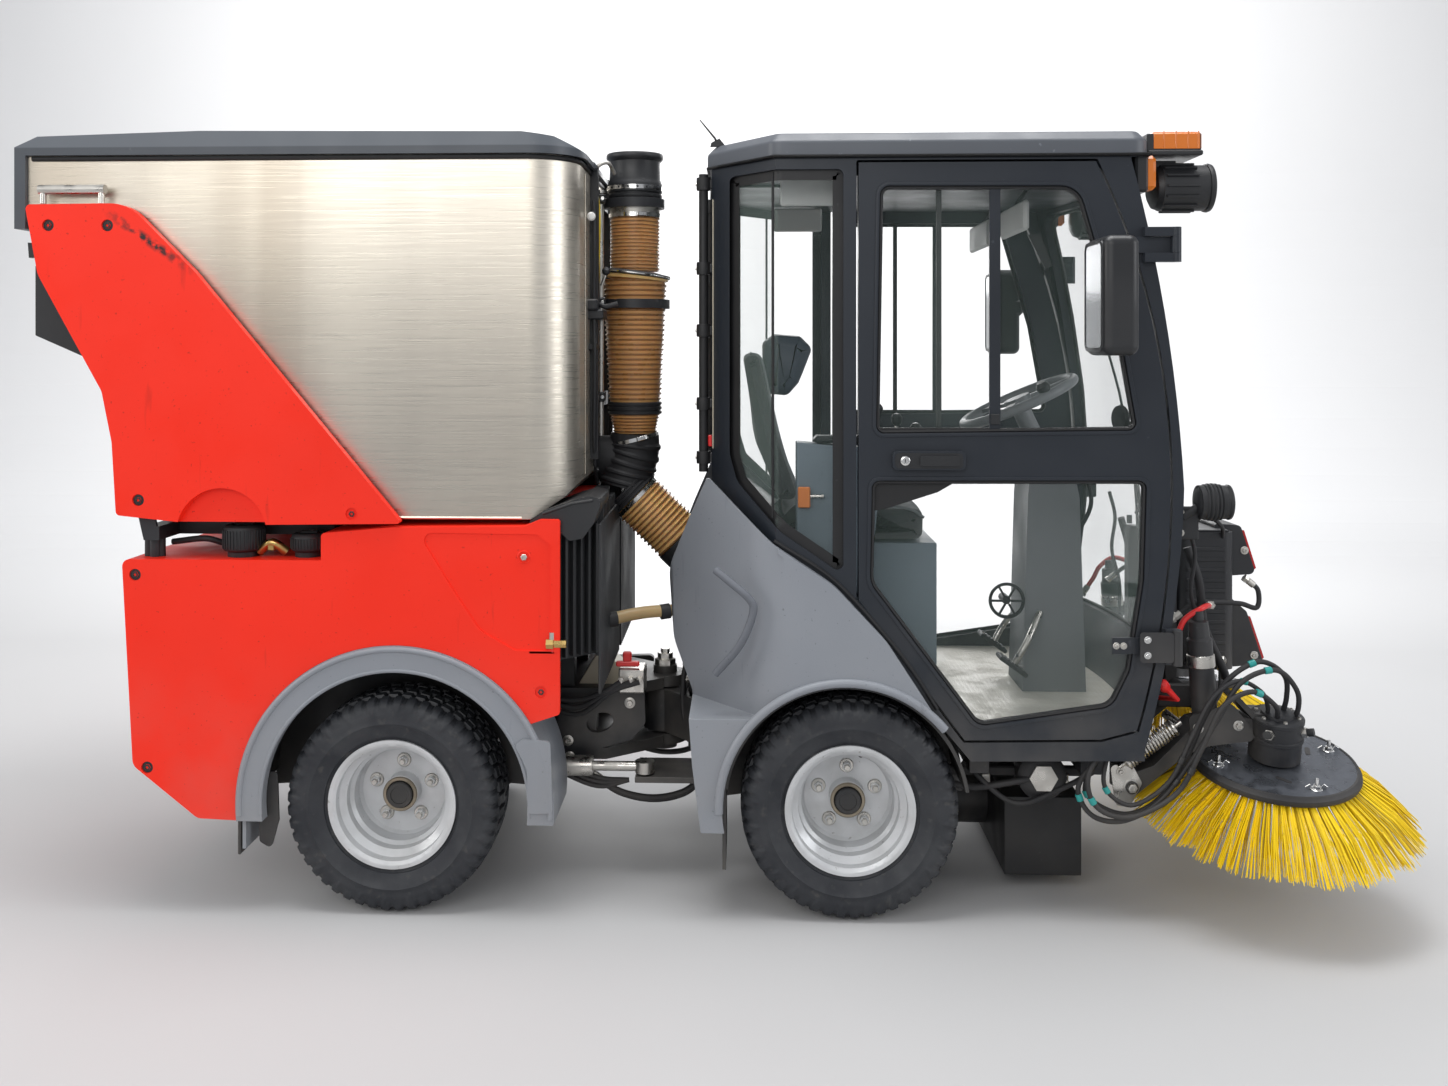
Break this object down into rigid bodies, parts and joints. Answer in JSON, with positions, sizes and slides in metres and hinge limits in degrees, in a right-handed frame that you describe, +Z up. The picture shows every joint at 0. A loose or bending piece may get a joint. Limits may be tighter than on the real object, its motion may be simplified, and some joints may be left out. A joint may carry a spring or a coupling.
{
  "type": "compact articulated suction sweeper",
  "caption": "Compact articulated suction sweeper with a glazed cab, tipping steel hopper, front disc brushes and a flexible suction hose",
  "frame": {"origin": "on the ground below the middle of the box round the whole vehicle", "axes": "+X forward, towards the brushes; +Y to the vehicle's left; +Z up"},
  "size_m": [3.552, 1.48, 1.987],
  "materials": {
    "orange_plastic": "moulded, semi gloss",
    "stainless": "brushed along its length",
    "slate_lid": "slate grey, semi matt",
    "light_grey_plastic": "moulded, light blue grey",
    "anthracite": "dark grey, semi gloss",
    "frame_black": "black, powder coated",
    "black_plastic": "black, moulded",
    "rubber": "black rubber",
    "hose_tan": "ribbed, tan",
    "silver_rim": "silver paint",
    "tyre": "tread rubber",
    "glass": "clear, slightly tinted",
    "cast": "dark cast metal",
    "zinc": "zinc plated",
    "interior_grey": "blue grey, moulded",
    "seat_fabric": "woven, dark",
    "lamp_plastic": "amber and clear lenses",
    "red_lens": "red lenses",
    "bristle": "yellow bristles",
    "brush_metal": "dark paint"
  },
  "bodies": {
    "rear": {"rear_frame": "frame_black", "rear_axle": "cast", "engine_block": "cast", "radiator_grille": "black_plastic", "rear_covers": "orange_plastic", "rear_fenders": "light_grey_plastic", "wings": "orange_plastic", "tank_cradle": "frame_black", "filler_caps": "black_plastic", "rear_lamps": "red_lens", "steering_cylinders": "zinc", "suction_hose": "hose_tan", "water_hose": "rubber", "grab_handles": "black_plastic"},
    "hopper": {"hopper_tank": "stainless", "hopper_rails": "frame_black", "inlet_elbow": "black_plastic", "hand_tube": "hose_tan", "tail_board": "black_plastic"},
    "lid": {"hopper_lid": "slate_lid"},
    "front": {"front_frame": "frame_black", "front_axle": "cast", "cab_frame": "anthracite", "cab_floor": "frame_black", "roof": "anthracite", "cab_glass": "glass", "side_panels": "light_grey_plastic", "arch_liners": "black_plastic", "seat_base": "interior_grey", "seat_cushions": "seat_fabric", "steering_column": "black_plastic", "cab_lamps": "lamp_plastic", "door_hinges": "frame_black", "suction_duct": "frame_black", "suction_mouth": "frame_black", "front_carrier": "frame_black", "front_module": "anthracite"},
    "door_left": {"door_left": "anthracite", "door_glass_left": "glass", "mirror_left": "black_plastic"},
    "rear_wheel_left": {"rear_tyre_left": "tyre", "rear_rim_left": "silver_rim"},
    "front_wheel_left": {"front_tyre_left": "tyre", "front_rim_left": "silver_rim"},
    "arm_left": {"brush_arm_left": "frame_black"},
    "brush_left": {"brush_disc_left": "brush_metal", "bristles_left": "bristle"},
    "door_right": {"door_right": "anthracite", "door_glass_right": "glass", "mirror_right": "black_plastic"},
    "rear_wheel_right": {"rear_tyre_right": "tyre", "rear_rim_right": "silver_rim"},
    "front_wheel_right": {"front_tyre_right": "tyre", "front_rim_right": "silver_rim"},
    "arm_right": {"brush_arm_right": "frame_black"},
    "brush_right": {"brush_disc_right": "brush_metal", "bristles_right": "bristle"}
  },
  "joints": [
    {"name": "articulation", "type": "hinge", "parent": "rear", "child": "front", "pos_m": [-0.15, 0, 0.4], "axis": [0, 0, 1], "range_deg": [-35, 35], "deforming": ["suction_hose", "water_hose"]},
    {"name": "hopper_tip", "type": "hinge", "parent": "rear", "child": "hopper", "pos_m": [-1.5, 0, 1.31], "axis": [0, -1, 0], "range_deg": [0, 60]},
    {"name": "lid_hinge", "type": "hinge", "parent": "hopper", "child": "lid", "pos_m": [-0.334, 0, 1.925], "axis": [0, 1, 0], "range_deg": [0, 45]},
    {"name": "door_left_hinge", "type": "hinge", "parent": "front", "child": "door_left", "pos_m": [1.138, 0.514, 1.2], "axis": [0, 0, -1], "range_deg": [0, 80]},
    {"name": "rear_wheel_left_spin", "type": "hinge", "parent": "rear", "child": "rear_wheel_left", "pos_m": [-0.811, 0.415, 0.273], "axis": [0, 1, 0], "continuous": true},
    {"name": "front_wheel_left_spin", "type": "hinge", "parent": "front", "child": "front_wheel_left", "pos_m": [0.342, 0.415, 0.273], "axis": [0, 1, 0], "continuous": true},
    {"name": "brush_arm_left_lift", "type": "hinge", "parent": "front", "child": "arm_left", "pos_m": [1.053, 0.383, 0.32], "axis": [0, 1, 0], "range_deg": [0, 14]},
    {"name": "brush_left_spin", "type": "hinge", "parent": "arm_left", "child": "brush_left", "pos_m": [1.418, 0.4, 0.378], "axis": [0, 0.1908, 0.9816], "continuous": true},
    {"name": "door_right_hinge", "type": "hinge", "parent": "front", "child": "door_right", "pos_m": [1.138, -0.514, 1.2], "axis": [0, 0, 1], "range_deg": [0, 80]},
    {"name": "rear_wheel_right_spin", "type": "hinge", "parent": "rear", "child": "rear_wheel_right", "pos_m": [-0.811, -0.415, 0.273], "axis": [0, 1, 0], "continuous": true},
    {"name": "front_wheel_right_spin", "type": "hinge", "parent": "front", "child": "front_wheel_right", "pos_m": [0.342, -0.415, 0.273], "axis": [0, 1, 0], "continuous": true},
    {"name": "brush_arm_right_lift", "type": "hinge", "parent": "front", "child": "arm_right", "pos_m": [1.053, -0.383, 0.32], "axis": [0, 1, 0], "range_deg": [0, 14]},
    {"name": "brush_right_spin", "type": "hinge", "parent": "arm_right", "child": "brush_right", "pos_m": [1.418, -0.4, 0.378], "axis": [0, -0.1908, 0.9816], "continuous": true}
  ]
}
